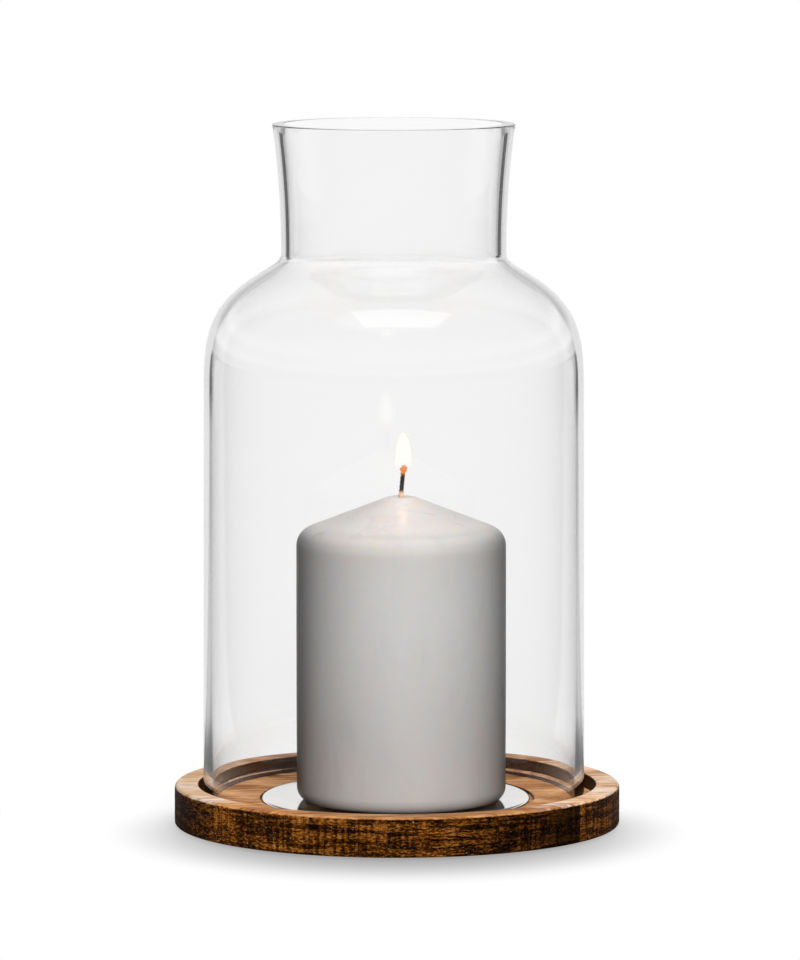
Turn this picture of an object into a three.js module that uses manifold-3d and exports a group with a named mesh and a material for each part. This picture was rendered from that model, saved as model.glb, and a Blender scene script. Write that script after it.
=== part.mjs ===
// Wooden candle lantern: a clear glass cover over a pillar candle, on a turned wooden base.
// Millimetres, +Z up. The origin lies on the table, under the middle of the base.
// The front of the lantern faces -Y.

import * as THREE from 'three';
import { mergeVertices } from 'three/addons/utils/BufferGeometryUtils.js';
import Module from 'manifold-3d';

const wasm = await Module();
wasm.setup();

// Sizes of the glass cover. Heights are stacked, each from the end of the one below.
const footRadius = 64.2;
const bodyTaper = 0.5;
const bodyHeight = 141;
const shoulderHeight = 37.1;
const slopeRadius = 43.1;
const slopeTilt = 59.8;
const throatHeight = 6.9;
const neckRadius = 37.75;
const neckHeight = 42;
const mouthRadius = 40.7;
const mouthTilt = 8.1;

// Fullness of the cover's curves: how far each one runs on before it bends away.
const shoulderStart = 18.5;
const shoulderEnd = 19.8;
const throatStart = 5.9;
const throatEnd = 3.3;
const neckStart = 14.2;
const neckEnd = 14.3;

// Wall of the glass cover, from foot to mouth.
const footWall = 2.9;
const bodyWall = 2.6;
const shoulderWall = 3.1;
const neckWall = 2.85;
const mouthWall = 3.3;
const footTaper = 30;
const footLip = 0.9;
const footLipHeight = 1.4;
const footEdge = 0.6;
const mouthEdge = 0.9;

// Wooden base: the recess takes the cover's foot with room round it.
const coverClearance = 2.7;
const rimWidth = 8.1;
const baseHeight = 13.4;
const recessDepth = 4.9;
const outerEdge = 1.4;
const innerEdge = 0.7;
const bottomEdge = 0.9;
const boardJointOffset = 44;

// Steel plate and the pocket that it lies in.
const plateRadius = 45.3;
const plateThickness = 1.5;
const plateClearance = 0.9;
const plateProud = 0.25;
const pocketEdge = 0.3;

// Felt pads under the base.
const padRadius = 6;
const padThickness = 1;
const padInset = 17;
const padEdge = 0.2;
const padFirstAngle = 45;

// Candle.
const waxRadius = 35.1;
const waxWallHeight = 86.1;
const waxBottomRound = 4.5;
const waxShoulderRound = 6.5;
const waxConeTilt = 21.3;
const waxTipRadius = 4.6;

// Wick, and the pressed tin clip that holds its lower end.
const wickRadius = 1;
const wickClearance = 0.3;
const wickRise = 10.7;
const wickLean = 0.7;
// The wick's bend above the wax: share of its rise, and share of its lean reached there.
const wickBends = [[0, 0], [0.35, 0.15], [0.7, 0.6], [1, 1]];
const clipRadius = 10;
const clipThickness = 0.4;
const clipClearance = 0.3;
const clipInset = 0.25;
const collarHeight = 5;
const collarWall = 0.4;

// Where each loose piece stands in its seat, in shares of its clearance, towards +X.
const coverShift = -0.4;
const plateShift = -0.55;
// Where the candle stands on the plate, from the plate's middle, towards +X and towards the front.
const candleShift = 1.9;
const candleForward = 7;

// Fineness of round shapes.
const glassSegments = 60;
const baseSegments = 80;
const waxSegments = 64;
const plateSegments = 64;
const smallSegments = 24;
const wickSides = 8;
const wickSteps = 44;
const edgeSteps = 3;
const waxEdgeSteps = 4;
const shoulderSteps = 8;
const throatSteps = 6;
const neckSteps = 5;
const cutMargin = 10;

// Values worked out from the sizes above.
const bodyRadius = footRadius - bodyTaper;
const recessRadius = footRadius + coverClearance;
const baseRadius = recessRadius + rimWidth;
const padCircleRadius = baseRadius - padInset;
const baseTop = padThickness + baseHeight;
const recessFloor = baseTop - recessDepth;
const pocketRadius = plateRadius + plateClearance;
const pocketFloor = recessFloor + plateProud - plateThickness;
const plateTop = pocketFloor + plateThickness;
const coverX = coverShift * coverClearance;
const plateX = plateShift * plateClearance;
const candleX = plateX + candleShift;
const candleY = -candleForward;
const boreRadius = wickRadius + wickClearance;
const collarRadius = boreRadius + collarWall;
const clipBottom = plateTop + clipInset;
const clipTop = clipBottom + clipThickness;
const collarTop = clipTop + collarHeight;

const radians = THREE.MathUtils.degToRad;
const point = (radius, height) => new THREE.Vector2(radius, height);

// Colours, roughness and metalness of the real surfaces.
const woodLook = { color: 0xb68b68, roughness: 0.62, metalness: 0 };
const glassLook = { color: 0xf2f5f4, roughness: 0.04, metalness: 0, transparent: true, opacity: 0.3 };
const steelLook = { color: 0xd8d7d2, roughness: 0.12, metalness: 1 };
const tinLook = { color: 0xb9bab8, roughness: 0.35, metalness: 1 };
const waxLook = { color: 0xece4da, roughness: 0.5, metalness: 0 };
const wickLook = { color: 0x2a211c, roughness: 0.95, metalness: 0 };
const feltLook = { color: 0x4b4038, roughness: 1, metalness: 0 };

const lantern = new THREE.Group();

function addPiece(name, geometry, look, x = 0, y = 0) {
  const mesh = new THREE.Mesh(geometry, new THREE.MeshStandardMaterial(look));
  mesh.name = name;
  mesh.position.set(x, y, 0);
  lantern.add(mesh);
}

// Turns a profile of radius and height about the Z axis.
function turned(profile, segments) {
  const geometry = new THREE.LatheGeometry(profile, segments);
  geometry.rotateX(Math.PI / 2);
  return geometry;
}

// Points of a round edge, from one angle to the other, in degrees from the outward direction.
function roundEdge(radius, height, round, from, to, steps = edgeSteps) {
  const points = [];
  for (let step = 0; step <= steps; step += 1) {
    const angle = radians(from + ((to - from) * step) / steps);
    points.push(point(radius + round * Math.cos(angle), height + round * Math.sin(angle)));
  }
  return points;
}

function toSolid(geometry) {
  const bare = geometry.index ? geometry.toNonIndexed() : geometry.clone();
  bare.deleteAttribute('normal');
  bare.deleteAttribute('uv');
  const merged = mergeVertices(bare);
  const corners = Array.from(merged.index.array);
  const faces = [];
  for (let start = 0; start < corners.length; start += 3) {
    const [a, b, c] = corners.slice(start, start + 3);
    if (a !== b && b !== c && c !== a) {
      faces.push(a, b, c);
    }
  }
  return new wasm.Manifold(new wasm.Mesh({
    numProp: 3,
    vertProperties: merged.attributes.position.array,
    triVerts: new Uint32Array(faces),
  }));
}

function toGeometry(solid) {
  const mesh = solid.getMesh();
  const geometry = new THREE.BufferGeometry();
  geometry.setAttribute('position', new THREE.BufferAttribute(mesh.vertProperties, 3));
  geometry.setIndex(new THREE.BufferAttribute(mesh.triVerts, 1));
  geometry.computeVertexNormals();
  return geometry;
}

// Section of the base: a disc with a rim, the recess for the cover and the pocket for the plate.
function baseProfile() {
  return [
    point(0, padThickness),
    ...roundEdge(baseRadius - bottomEdge, padThickness + bottomEdge, bottomEdge, -90, 0),
    ...roundEdge(baseRadius - outerEdge, baseTop - outerEdge, outerEdge, 0, 90),
    ...roundEdge(recessRadius + innerEdge, baseTop - innerEdge, innerEdge, 90, 180),
    point(recessRadius, recessFloor),
    point(pocketRadius + pocketEdge, recessFloor),
    point(pocketRadius, recessFloor - pocketEdge),
    point(pocketRadius, pocketFloor),
    point(0, pocketFloor),
  ];
}

// Cuts the turned disc along its glue joints, which run from left to right.
function addBaseBoards() {
  const disc = toSolid(turned(baseProfile(), baseSegments));
  const reach = baseRadius + cutMargin;
  const boards = [
    { name: 'base_board_front', from: -reach, to: -boardJointOffset },
    { name: 'base_board_middle', from: -boardJointOffset, to: boardJointOffset },
    { name: 'base_board_back', from: boardJointOffset, to: reach },
  ];
  for (const board of boards) {
    const slab = new THREE.BoxGeometry(2 * reach, board.to - board.from, 2 * reach);
    slab.translate(0, (board.from + board.to) / 2, 0);
    addPiece(board.name, toGeometry(disc.intersect(toSolid(slab))), woodLook);
  }
}

// Four pads on one circle, evenly round the underside.
function addFeltPads() {
  const profile = [
    point(0, 0),
    point(padRadius - padEdge, 0),
    point(padRadius, padEdge),
    point(padRadius, padThickness),
    point(0, padThickness),
  ];
  const names = ['felt_pad_back_right', 'felt_pad_back_left', 'felt_pad_front_left', 'felt_pad_front_right'];
  names.forEach((name, index) => {
    const angle = radians(padFirstAngle + (360 * index) / names.length);
    const x = padCircleRadius * Math.cos(angle);
    const y = padCircleRadius * Math.sin(angle);
    addPiece(name, turned(profile, smallSegments), feltLook, x, y);
  });
}

// Flat polished disc whose edge is rounded over its whole thickness.
function addCandlePlate() {
  const round = plateThickness / 2;
  const profile = [
    point(0, pocketFloor),
    ...roundEdge(plateRadius - round, pocketFloor + round, round, -90, 90, 2 * edgeSteps),
    point(0, plateTop),
  ];
  addPiece('candle_plate', turned(profile, plateSegments), steelLook, plateX);
}

// Outer line of the glass cover from foot to mouth, as stretches with the wall at each end.
function coverStretches() {
  const bodyTop = recessFloor + bodyHeight;
  const slopeTop = bodyTop + shoulderHeight;
  const throatTop = slopeTop + throatHeight;
  const mouthTop = throatTop + neckHeight;
  const taperTop = recessFloor + Math.min(footTaper, bodyHeight);
  const taperRadius = THREE.MathUtils.lerp(footRadius, bodyRadius, (taperTop - recessFloor) / bodyHeight);
  const foot = point(footRadius, recessFloor);
  const taper = point(taperRadius, taperTop);
  const body = point(bodyRadius, bodyTop);
  const slope = point(slopeRadius, slopeTop);
  const throat = point(neckRadius, throatTop);
  const mouth = point(mouthRadius, mouthTop);
  const up = point(0, 1);
  const along = point(-Math.sin(radians(slopeTilt)), Math.cos(radians(slopeTilt)));
  const flare = point(Math.sin(radians(mouthTilt)), Math.cos(radians(mouthTilt)));
  const bend = (start, startWay, startReach, end, endWay, endReach) => new THREE.CubicBezierCurve(
    start,
    start.clone().addScaledVector(startWay, startReach),
    end.clone().addScaledVector(endWay, -endReach),
    end,
  );
  return [
    { curve: new THREE.LineCurve(foot, taper), steps: edgeSteps, from: footWall, to: bodyWall },
    { curve: new THREE.LineCurve(taper, body), steps: 1, from: bodyWall, to: bodyWall },
    {
      curve: bend(body, up, shoulderStart, slope, along, shoulderEnd),
      steps: shoulderSteps,
      from: bodyWall,
      to: shoulderWall,
    },
    {
      curve: bend(slope, along, throatStart, throat, up, throatEnd),
      steps: throatSteps,
      from: shoulderWall,
      to: neckWall,
    },
    {
      curve: bend(throat, up, neckStart, mouth, flare, neckEnd),
      steps: neckSteps,
      from: neckWall,
      to: mouthWall,
    },
  ];
}

// The cover's section: up its outside, over the mouth and down its inside, one wall thickness in.
function coverProfile() {
  const outside = [];
  const inside = [];
  for (const { curve, steps, from, to } of coverStretches()) {
    const first = outside.length === 0 ? 0 : 1;
    for (let step = first; step <= steps; step += 1) {
      const share = step / steps;
      const place = curve.getPoint(share);
      const way = curve.getTangent(share);
      const wall = THREE.MathUtils.lerp(from, to, THREE.MathUtils.smoothstep(share, 0, 1));
      outside.push(place);
      inside.push(point(place.x - way.y * wall, place.y + way.x * wall));
    }
  }
  const foot = outside.shift();
  const footInside = inside.shift();
  const mouth = outside.pop();
  inside.pop();
  const loop = [
    point(footInside.x - footLip, recessFloor),
    ...roundEdge(foot.x - footEdge, recessFloor + footEdge, footEdge, -90, 0),
    ...outside,
    ...roundEdge(mouth.x - mouthEdge, mouth.y - mouthEdge, mouthEdge, 0, 90),
    ...roundEdge(mouth.x - mouthWall + mouthEdge, mouth.y - mouthEdge, mouthEdge, 90, 180),
    ...inside.reverse(),
    point(footInside.x, recessFloor + footLipHeight),
  ];
  loop.push(loop[0].clone());
  return loop;
}

function addGlassCover() {
  addPiece('glass_cover', turned(coverProfile(), glassSegments), glassLook, coverX);
}

// Height of the candle's flat tip, worked out from its wall, its round shoulder and its cone.
function waxOutline() {
  const coneAngle = radians(waxConeTilt);
  const wallTop = plateTop + waxWallHeight;
  const bendEnd = 90 - waxConeTilt;
  const shoulder = roundEdge(
    waxRadius - waxShoulderRound,
    wallTop,
    waxShoulderRound,
    0,
    bendEnd,
    waxEdgeSteps,
  );
  const coneFoot = shoulder[shoulder.length - 1];
  const tipHeight = coneFoot.y + (coneFoot.x - waxTipRadius) * Math.tan(coneAngle);
  return { shoulder, tipHeight };
}

// Pillar candle with a bore for the wick and a stepped hollow underneath for the clip.
function addCandleWax() {
  const { shoulder, tipHeight } = waxOutline();
  const hollowRadius = clipRadius + clipClearance;
  const hollowTop = clipTop + clipClearance;
  const collarHole = collarRadius + clipClearance;
  const loop = [
    point(hollowRadius, plateTop),
    ...roundEdge(waxRadius - waxBottomRound, plateTop + waxBottomRound, waxBottomRound, -90, 0, waxEdgeSteps),
    ...shoulder,
    point(waxTipRadius, tipHeight),
    point(boreRadius, tipHeight),
    point(boreRadius, collarTop + clipClearance),
    point(collarHole, collarTop + clipClearance),
    point(collarHole, hollowTop),
    point(hollowRadius, hollowTop),
    point(hollowRadius, plateTop),
  ];
  addPiece('candle_wax', turned(loop, waxSegments), waxLook, candleX, candleY);
}

// Cotton wick, straight in its bore and leaning a little above the wax.
function addWick() {
  const { tipHeight } = waxOutline();
  const section = new THREE.Shape();
  for (let side = 0; side < wickSides; side += 1) {
    const angle = (2 * Math.PI * side) / wickSides;
    const x = wickRadius * Math.cos(angle);
    const y = wickRadius * Math.sin(angle);
    if (side === 0) {
      section.moveTo(x, y);
    } else {
      section.lineTo(x, y);
    }
  }
  section.closePath();
  const route = new THREE.CatmullRomCurve3([
    new THREE.Vector3(0, 0, clipBottom),
    new THREE.Vector3(0, 0, (clipBottom + tipHeight) / 2),
    ...wickBends.map(([rise, lean]) => new THREE.Vector3(lean * wickLean, 0, tipHeight + rise * wickRise)),
  ], false, 'centripetal');
  const geometry = new THREE.ExtrudeGeometry(section, {
    steps: wickSteps,
    extrudePath: route,
    bevelEnabled: false,
  });
  addPiece('wick', geometry, wickLook, candleX, candleY);
}

// Tin disc with a collar that grips the wick.
function addWickClip() {
  const loop = [
    point(boreRadius, clipBottom),
    point(clipRadius, clipBottom),
    point(clipRadius, clipTop),
    point(collarRadius, clipTop),
    point(collarRadius, collarTop),
    point(boreRadius, collarTop),
    point(boreRadius, clipBottom),
  ];
  addPiece('wick_clip', turned(loop, smallSegments), tinLook, candleX, candleY);
}

addBaseBoards();
addFeltPads();
addCandlePlate();
addGlassCover();
addCandleWax();
addWick();
addWickClip();

export default lantern;
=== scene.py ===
"""Looks of the wooden candle lantern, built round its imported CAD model.

Lengths are in metres and angles in degrees, in the frame of the CAD model: +Z up, the front towards -Y.
A turned shape is given as a section: points of radius and height, from which the mesh is turned.
"""

import math
from collections import namedtuple

import bmesh
import bpy
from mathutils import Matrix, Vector, noise


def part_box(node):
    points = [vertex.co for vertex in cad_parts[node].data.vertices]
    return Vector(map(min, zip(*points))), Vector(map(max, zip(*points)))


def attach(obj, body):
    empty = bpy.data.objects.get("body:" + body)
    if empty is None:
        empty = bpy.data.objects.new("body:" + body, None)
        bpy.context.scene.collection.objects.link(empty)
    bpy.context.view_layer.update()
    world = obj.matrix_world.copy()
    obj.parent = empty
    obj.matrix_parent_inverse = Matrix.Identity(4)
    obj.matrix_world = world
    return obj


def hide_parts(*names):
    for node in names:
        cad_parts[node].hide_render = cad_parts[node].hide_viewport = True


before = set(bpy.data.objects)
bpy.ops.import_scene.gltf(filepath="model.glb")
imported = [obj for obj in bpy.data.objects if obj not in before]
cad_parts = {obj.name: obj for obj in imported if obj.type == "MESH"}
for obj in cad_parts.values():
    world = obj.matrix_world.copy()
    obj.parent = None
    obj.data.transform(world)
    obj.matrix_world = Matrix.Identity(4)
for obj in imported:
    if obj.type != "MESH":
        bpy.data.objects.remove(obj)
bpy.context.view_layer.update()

# Where a CAD node stands: the middle, half width and heights of its box.
Place = namedtuple("Place", "x y radius low high")


def place_of(node):
    low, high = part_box(node)
    return Place((low.x + high.x) / 2, (low.y + high.y) / 2, (high.x - low.x) / 2, low.z, high.z)


BASE = place_of("base_board_middle")
PLATE = place_of("candle_plate")
COVER = place_of("glass_cover")
WAX = place_of("candle_wax")
CLIP = place_of("wick_clip")

# Wooden base: its recess, the pocket for the plate, and its edges.
RIM_WIDTH = 0.0081
RECESS_DEPTH = 0.0049
OUTER_EDGE = 0.0014
INNER_EDGE = 0.0007
BOTTOM_EDGE = 0.0009
POCKET_EDGE = 0.0003
PLATE_CLEARANCE = 0.0009
BOARD_JOINT = 0.044
RECESS_RADIUS = BASE.radius - RIM_WIDTH
RECESS_FLOOR = BASE.high - RECESS_DEPTH
POCKET_RADIUS = PLATE.radius + PLATE_CLEARANCE
# Depths below the top at which the outer wall's stain begins and is full, and how ragged that line is.
STAIN_START = 0.0005
STAIN_FULL = 0.0009
STAIN_RAGGED = 0.0008
# Painted sheen: whitish spots on the rim, as x and y, each full within the first distance below
# and gone at the second.
SHEEN_SPOTS = ((-0.069, -0.008), (-0.062, -0.034), (0.0705, 0.007), (0.068, -0.018), (0.052, -0.0485))
SHEEN_CORE = 0.003
SHEEN_REACH = 0.013
# Marks pressed into the outer wall: depths, sizes, and how far below the top the nicks are full and end.
SAW_DEPTH = 0.00022
NICK_DEPTH = 0.00012
FIBRE_SIZE = (0.009, 0.0016, 0.0014)
SAW_SIZE = (0.0015, 0.02)
RIPPLE_SIZE = (0.012, 0.008)
NICK_LENGTH = 0.0021
NICK_FULL = 0.0003
NICK_END = 0.0016

# Felt pads: the rounding of their lower edge, how deep they fray, and the size of a tuft.
FELT_EDGE = 0.0002
FELT_FRAY = 0.00012
FELT_TUFT = 0.0006

# Slow unevenness of a turned wall: its depth, how fast it changes round the axis, the height of its waves,
# and its place in the noise.
Wave = namedtuple("Wave", "depth turn height place")

# Glass cover, from its foot to its mouth. Heights are stacked, each from the end of the one below.
BODY_TAPER = 0.0005
BODY_HEIGHT = 0.141
SHOULDER_HEIGHT = 0.0371
SLOPE_RADIUS = 0.0431
SLOPE_TILT = 59.8
THROAT_HEIGHT = 0.0069
NECK_RADIUS = 0.03775
MOUTH_RADIUS = 0.0407
MOUTH_TILT = 8.1
# How far each curve of the outside is drawn along its direction at its start and end.
SHOULDER_START = 0.0185
SHOULDER_END = 0.0198
THROAT_START = 0.0059
THROAT_END = 0.0033
NECK_START = 0.0142
NECK_END = 0.0143
FOOT_WALL = 0.0029
BODY_WALL = 0.0026
SHOULDER_WALL = 0.0031
NECK_WALL = 0.0031
MOUTH_WALL = 0.0036
FOOT_TAPER = 0.03
FOOT_LIP = 0.0009
FOOT_LIP_HEIGHT = 0.0014
FOOT_EDGE = 0.0006
MOUTH_EDGE = 0.0004
# The foot stands this far off the wood, so that their faces don't lie in one plane.
FOOT_LIFT = 0.00004
FOOT_LEVEL = COVER.low + FOOT_LIFT
GLASS_WAVE = Wave(0.00009, 2.3, 0.05, (4.1, 0.3))
# Above the shoulder the wall is up to this much thicker on the right. That sets in within NECK_BLEND of it.
NECK_UNEVEN = 0.0003
NECK_BLEND = 0.008

# Candle.
WAX_BOTTOM_ROUND = 0.0045
WAX_SHOULDER_ROUND = 0.0065
WAX_WALL_HEIGHT = 0.0861
WAX_CONE_TILT = 21.3
WAX_TIP_RADIUS = 0.0046
WAX_TIP_ROUND = 0.003
WAX_WALL_TOP = WAX.low + WAX_WALL_HEIGHT
BORE_RADIUS = 0.0013
CLIP_GAP = 0.0003
CLIP_THICKNESS = 0.0004
COLLAR_RADIUS = 0.0017
# Its unevenness, and the radii between which that sets in outwards.
WAX_WAVE = Wave(0.00012, 2.0, 0.03, (1.7, 8.2))
WAX_WAVE_START = (0.008, 0.02)
# Painted shade of the wax, darker towards its foot, as (height above its foot, brightness) stops.
# The height from which it gets warmer by a painted glow of the flame, and heights above the top of its
# wall between which its coat thins out.
WAX_PAINTED_SHADE = ((0.005, 0.83), (0.022, 0.845), (0.049, 0.92), (0.069, 1.0))
WAX_GLOW_START = 0.06
COAT_END = (0.002, 0.008)

# Wick: strands twisted round each other. STRAND_TURN is the height of one whole twist.
STRANDS = 3
STRAND_TURN = 0.0042
WICK_LEAN = 0.0007
WICK_FOOT_RADIUS = 0.00098
WICK_BURNT_RADIUS = 0.0008
# A strand's radius and its distance from the wick's middle, as shares of the wick's radius.
STRAND_THICK = 0.54
STRAND_AWAY = 0.46
WICK_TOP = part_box("wick")[1].z
STRAND_TOP = WICK_TOP - 0.0012
EMBER_FOOT = WICK_TOP - 0.0025
# Lumps of the ember: x and y from the wick's middle, height above EMBER_FOOT, and radius.
EMBER_LUMPS = (
    (-0.0005, -0.0002, 0.0009, 0.0007),
    (0.0004, -0.0003, 0.0007, 0.0008),
    (0.0008, 0.0003, 0.0014, 0.00055),
    (-0.0001, 0.0004, 0.0012, 0.0007),
    (0.0001, -0.0001, 0.0017, 0.00075),
)
# How deep the lumps are dented, as a share of their radius, and the size of a dent.
EMBER_DENT = 0.2
EMBER_DENT_SIZE = 0.0006
# Heights above the wax between which the wick gets thinner, turns to char and begins to glow, and how ragged
# the last two lines are.
WICK_THINS = (0.0002, 0.0024)
WICK_CHARS = (0.0012, 0.0024)
WICK_GLOWS = (0.0068, 0.0084)
WICK_RAGGED = 0.0022

# Fineness of the meshes: segments round the axis, steps of curves and arcs, and heights of rows.
BASE_SEGMENTS = 720
GLASS_SEGMENTS = 192
WAX_SEGMENTS = 160
SMALL_SEGMENTS = 64
ARC_STEPS = 8
TIP_STEPS = 5
SMALL_STEPS = 3
COVER_STEPS = (10, 20, 30, 18, 18)
STRAND_STEPS = 200
STRAND_SIDES = 10
WALL_ROW = 0.0004
WAX_ROW = 0.004
# How close the points that keep flat faces flat lie to their ends, and the radius of a one-point ring.
SUPPORT = 0.0003
TINY = 1e-7


def srgb(red, green, blue):
    """A colour as it is seen, 0 to 255, as the linear one that Blender's sockets take."""
    shares = [value / 255 for value in (red, green, blue)]
    linear = [share / 12.92 if share <= 0.04045 else ((share + 0.055) / 1.055) ** 2.4 for share in shares]
    return (*linear, 1.0)


def smoothstep(value, low, high):
    share = min(max((value - low) / (high - low), 0.0), 1.0)
    return share * share * (3 - 2 * share)


def mix(start, end, share):
    return start + (end - start) * share


# Turned shapes.


def arc(radius, height, rounding, start, end, steps=ARC_STEPS):
    """Section points of a round edge, between two angles from the outward direction."""
    angles = [math.radians(mix(start, end, step / steps)) for step in range(steps + 1)]
    return [(radius + rounding * math.cos(angle), height + rounding * math.sin(angle)) for angle in angles]


def line(start, end, step):
    """Section points between two points, without the ends, no further apart than step."""
    start, end = Vector(start), Vector(end)
    count = max(1, math.ceil((end - start).length / step))
    return [tuple(start.lerp(end, index / count)) for index in range(1, count)]


def close_flats(section, reach=SUPPORT):
    """Adds a point near both ends of each long straight stretch, so that flat faces are shaded flat."""
    closed = []
    for index, point in enumerate(section):
        following = section[(index + 1) % len(section)]
        start, end = Vector(point), Vector(following)
        closed.append(point)
        length = (end - start).length
        if length > 4 * reach:
            closed.append(tuple(start.lerp(end, reach / length)))
            closed.append(tuple(end.lerp(start, reach / length)))
    return closed


def turn(section, segments, place, shape=None):
    """A closed bmesh turned from a closed section.

    shape moves a point: it takes an angle, a radius and a height, and gives a new radius and height.
    """
    solid = bmesh.new()
    rings = []
    for radius, height in section:
        ring = []
        for step in range(segments if radius > TINY else 1):
            angle = math.tau * step / segments
            r, z = shape(angle, radius, height) if shape else (radius, height)
            ring.append(solid.verts.new((place.x + r * math.cos(angle), place.y + r * math.sin(angle), z)))
        rings.append(ring)
    for index, upper in enumerate(rings):
        lower = rings[index - 1]
        if len(lower) == 1 and len(upper) == 1:
            continue
        for step in range(segments):
            after = (step + 1) % segments
            corners = [lower[step % len(lower)], lower[after % len(lower)]]
            corners += [upper[after % len(upper)], upper[step % len(upper)]]
            solid.faces.new(list(dict.fromkeys(corners)))
    bmesh.ops.recalc_face_normals(solid, faces=solid.faces)
    return solid


def new_object(name, data):
    """A new object in the scene."""
    added = bpy.data.objects.new(name, data)
    bpy.context.scene.collection.objects.link(added)
    return added


def add_piece(name, solid, materials, body, nodes=()):
    """Puts a bmesh into the scene as one piece of a CAD body."""
    mesh = bpy.data.meshes.new(name)
    solid.to_mesh(mesh)
    solid.free()
    mesh.shade_smooth()
    for material in materials:
        mesh.materials.append(material)
    piece = new_object(name, mesh)
    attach(piece, body)
    if nodes:
        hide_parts(*nodes)
    return piece


# Materials.


class Nodes:
    """The node tree of one material or world, with short calls for what is used here."""

    def __init__(self, owner):
        owner.use_nodes = True
        self.tree = owner.node_tree
        self.tree.nodes.clear()

    def feed(self, socket, value):
        if isinstance(value, bpy.types.NodeSocket):
            self.tree.links.new(value, socket)
        else:
            socket.default_value = value

    def add(self, kind, inputs=None, **settings):
        node = self.tree.nodes.new("ShaderNode" + kind)
        for name, value in settings.items():
            setattr(node, name, value)
        for key, value in (inputs or {}).items():
            self.feed(node.inputs[key], value)
        return node

    def math(self, operation, *values):
        return self.add("Math", dict(enumerate(values)), operation=operation).outputs[0]

    def most(self, *values):
        total = values[0]
        for value in values[1:]:
            total = self.math("MAXIMUM", total, value)
        return total

    def weigh(self, *pairs):
        """Sum of values, each times its weight."""
        total = 0.0
        for value, weight in pairs:
            total = self.math("MULTIPLY_ADD", value, weight, total)
        return total

    def between(self, value, low, high, start=0.0, end=1.0, soft=True):
        """Takes a value from the range low to high over to the range start to end, and holds it there."""
        kind = "SMOOTHSTEP" if soft else "LINEAR"
        inputs = {"Value": value, "From Min": low, "From Max": high, "To Min": start, "To Max": end}
        return self.add("MapRange", inputs, interpolation_type=kind, clamp=True).outputs[0]

    def gap(self, position, place):
        """Distance between a position and a fixed place."""
        return self.add("VectorMath", {0: position, 1: place}, operation="DISTANCE").outputs["Value"]

    def stretch(self, vector, scale, offset=(0, 0, 0)):
        inputs = {"Vector": vector, "Scale": scale, "Location": offset}
        return self.add("Mapping", inputs).outputs[0]

    def noise(self, vector, scale=1.0, detail=2.0, roughness=0.5, distortion=0.0):
        inputs = {"Vector": vector, "Scale": scale, "Detail": detail, "Roughness": roughness}
        return self.add("TexNoise", {**inputs, "Distortion": distortion}).outputs[0]

    def join(self, x=0.0, y=0.0, z=0.0):
        return self.add("CombineXYZ", {0: x, 1: y, 2: z}).outputs[0]

    def ramp(self, value, *stops):
        """Colour of a value on a ramp of (place, colour) stops."""
        node = self.add("ValToRGB", {0: value})
        elements = node.color_ramp.elements
        while len(elements) < len(stops):
            elements.new(1.0)
        for element, (place, colour) in zip(elements, stops):
            element.position = place
            element.color = colour
        return node.outputs[0]

    def blend(self, share, start, end, kind="MIX"):
        node = self.add("Mix", {0: share, 6: start, 7: end}, data_type="RGBA", blend_type=kind)
        return node.outputs[2]

    def bump(self, height, distance, strength=1.0, normal=None):
        inputs = {"Height": height, "Distance": distance, "Strength": strength}
        if normal:
            inputs["Normal"] = normal
        return self.add("Bump", inputs).outputs[0]

    def length(self, vector):
        return self.add("VectorMath", {0: vector}, operation="LENGTH").outputs["Value"]

    def position(self):
        return self.add("TexCoord").outputs["Object"]

    def parts(self, vector):
        return self.add("SeparateXYZ", {0: vector}).outputs

    def surface(self, shader):
        self.add("OutputMaterial", {"Surface": shader})

    def principled(self, inputs):
        self.surface(self.add("BsdfPrincipled", inputs).outputs[0])


def new_material(name):
    material = bpy.data.materials.new(name)
    return material, Nodes(material)


def base_coordinates(nodes):
    """Position on the base, its parts, its distance from the axis, and its way round the axis in metres."""
    position = nodes.position()
    parts = nodes.parts(position)
    away = nodes.length(nodes.join(parts[0], parts[1]))
    turned = nodes.math("MULTIPLY", nodes.math("ARCTAN2", parts[1], parts[0]), BASE.radius)
    return position, parts, away, turned


def grey_steps(nodes, value, stops):
    """Brightness of a value on (place, brightness) stops."""
    return nodes.ramp(value, *[(place, (grey, grey, grey, 1.0)) for place, grey in stops])


def across(stops):
    """Turns (x, brightness) stops on the base into stops of a ramp over its whole width."""
    return [(mix(0.5, 1.0, x / BASE.radius), grey) for x, grey in stops]


def grain_stops(colours):
    """Turns the four colours of a sanded face, from dark to light, into stops of its grain's ramp."""
    return [(place, srgb(*colour)) for place, colour in zip(GRAIN_PLACES, colours)]


def sanded_grain(nodes, moved):
    """Tone of the sanded wood, whose grain is long in X, with the fibres and the pores in it."""
    streaks = nodes.noise(nodes.stretch(moved, (24, 115, 115)), detail=4, roughness=0.6, distortion=1.3)
    fibres = nodes.noise(nodes.stretch(moved, (85, 800, 800)), detail=3, roughness=0.65, distortion=0.3)
    pores = nodes.noise(nodes.stretch(moved, (300, 2200, 2200)), detail=2)
    return nodes.weigh((streaks, 0.46), (fibres, 0.34), (pores, 0.2)), fibres, pores


def painted_sheen_share(nodes, position, moved):
    """How much painted sheen, a whitish wash, a place on the rim gets."""
    streaky = nodes.between(nodes.noise(nodes.stretch(moved, (140, 420, 420)), detail=3), 0.4, 0.62)
    gaps = [nodes.gap(position, (x, y, BASE.high)) for x, y in SHEEN_SPOTS]
    near = nodes.most(*[nodes.between(gap, SHEEN_REACH, SHEEN_CORE) for gap in gaps])
    return nodes.math("MULTIPLY", nodes.math("MULTIPLY", streaky, near), 0.75)


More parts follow.
